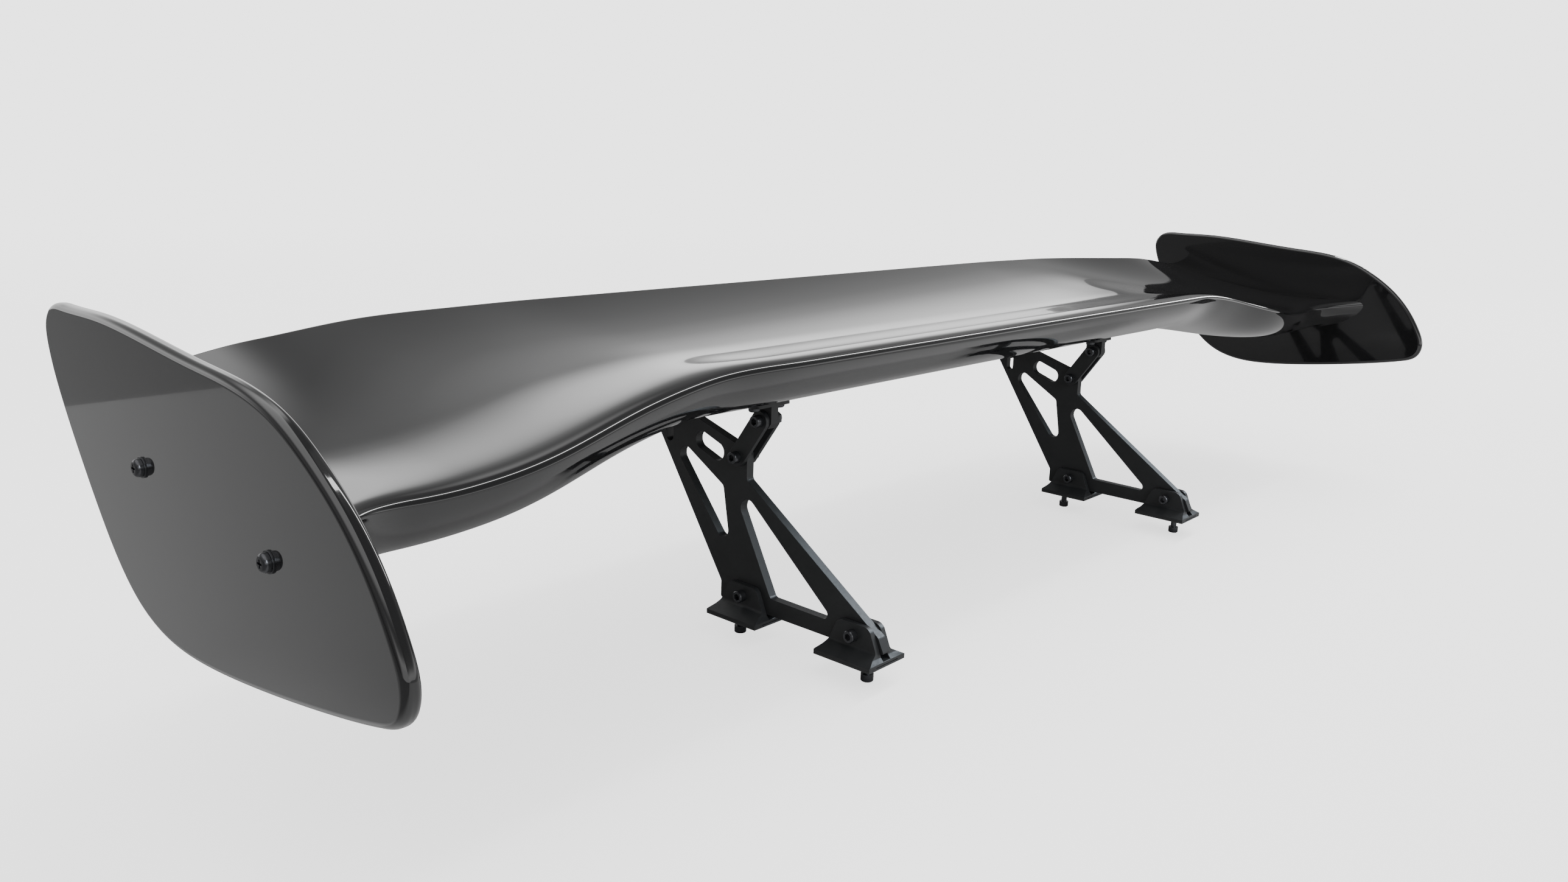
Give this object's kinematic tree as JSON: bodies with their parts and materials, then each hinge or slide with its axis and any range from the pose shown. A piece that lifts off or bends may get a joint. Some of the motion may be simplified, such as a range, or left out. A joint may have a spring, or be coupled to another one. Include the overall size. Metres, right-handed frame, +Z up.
{
  "type": "racing rear wing",
  "caption": "Adjustable racing rear wing: drooped-tip aerofoil blade with leaf-shaped end plates on plate stands with swivelling clevis feet and an angle slot.",
  "frame": {"origin": "centre of the deck bolt pattern, in the plane of the foot pads' undersides", "axes": "+X along the span towards the car's left, +Y towards the car's rear, +Z up; the deck bolts point along -Z"},
  "size_m": [1.4574, 0.4312, 0.2942],
  "materials": {
    "blade": "deep gloss black laminate, mirror smooth",
    "end_plate": "deep gloss black laminate, mirror smooth",
    "rib": "rigid foam",
    "mount_block": "matt moulded block",
    "bush": "machined",
    "bracket": "satin black",
    "link": "satin black",
    "stand": "satin black powder coat",
    "foot": "satin black anodised",
    "pad": "matt black",
    "fastener": "black oxide"
  },
  "bodies": {
    "stands": {"stand_left": "stand", "stand_right": "stand", "foot_pivot_bolts_left": "fastener", "foot_pivot_bolts_right": "fastener", "foot_pivot_nuts_left": "fastener", "foot_pivot_nuts_right": "fastener"},
    "links": {"link_bar_left_side_left": "link", "link_bar_left_side_right": "link", "link_bar_right_side_left": "link", "link_bar_right_side_right": "link", "link_bolts_left": "fastener", "link_bolts_right": "fastener", "link_nuts_left": "fastener", "link_nuts_right": "fastener"},
    "blade": {"blade_upper_skin": "blade", "blade_lower_skin": "blade", "end_plate_left": "end_plate", "end_plate_right": "end_plate", "tip_rib_left": "rib", "tip_rib_right": "rib", "front_mount_block_left": "mount_block", "front_mount_block_right": "mount_block", "rear_mount_block_left": "mount_block", "rear_mount_block_right": "mount_block", "tip_bushes_left": "bush", "tip_bushes_right": "bush", "block_bushes_left": "bush", "block_bushes_right": "bush", "front_bracket_left": "bracket", "front_bracket_right": "bracket", "rear_bracket_left": "bracket", "rear_bracket_right": "bracket", "bracket_screws_left": "fastener", "bracket_screws_right": "fastener", "end_plate_screws_left": "fastener", "end_plate_screws_right": "fastener", "end_plate_washers_left": "fastener", "end_plate_washers_right": "fastener", "slot_bolt_left": "fastener", "slot_bolt_right": "fastener", "slot_nut_left": "fastener", "slot_nut_right": "fastener", "slot_washers_left": "fastener", "slot_washers_right": "fastener"},
    "foot_front_left": {"foot_front_left": "foot", "foot_pad_front_left": "pad", "deck_bolt_front_left": "fastener"},
    "foot_front_right": {"foot_front_right": "foot", "foot_pad_front_right": "pad", "deck_bolt_front_right": "fastener"},
    "foot_rear_left": {"foot_rear_left": "foot", "foot_pad_rear_left": "pad", "deck_bolt_rear_left": "fastener"},
    "foot_rear_right": {"foot_rear_right": "foot", "foot_pad_rear_right": "pad", "deck_bolt_rear_right": "fastener"}
  },
  "joints": [
    {"name": "link_swing", "type": "hinge", "parent": "stands", "child": "links", "pos_m": [0, 0.068, 0.1334], "axis": [1, 0, 0], "range_deg": [-2.35, 2.35]},
    {"name": "blade_tilt", "type": "hinge", "parent": "links", "child": "blade", "pos_m": [0, 0.0448, 0.1668], "axis": [1, 0, 0], "range_deg": [-3.7, 3.7]},
    {"name": "foot_front_left_swivel", "type": "hinge", "parent": "stands", "child": "foot_front_left", "pos_m": [0.2712, -0.0576, 0.0192], "axis": [1, 0, 0], "range_deg": [-6, 6]},
    {"name": "foot_front_right_swivel", "type": "hinge", "parent": "stands", "child": "foot_front_right", "pos_m": [-0.2712, -0.0576, 0.0192], "axis": [1, 0, 0], "range_deg": [-6, 6]},
    {"name": "foot_rear_left_swivel", "type": "hinge", "parent": "stands", "child": "foot_rear_left", "pos_m": [0.2712, 0.0576, 0.0192], "axis": [1, 0, 0], "range_deg": [-6, 6]},
    {"name": "foot_rear_right_swivel", "type": "hinge", "parent": "stands", "child": "foot_rear_right", "pos_m": [-0.2712, 0.0576, 0.0192], "axis": [1, 0, 0], "range_deg": [-6, 6]}
  ],
  "couplings": [
    {"joint": "link_swing", "follows": "blade_tilt", "ratio": 0.6213}
  ]
}
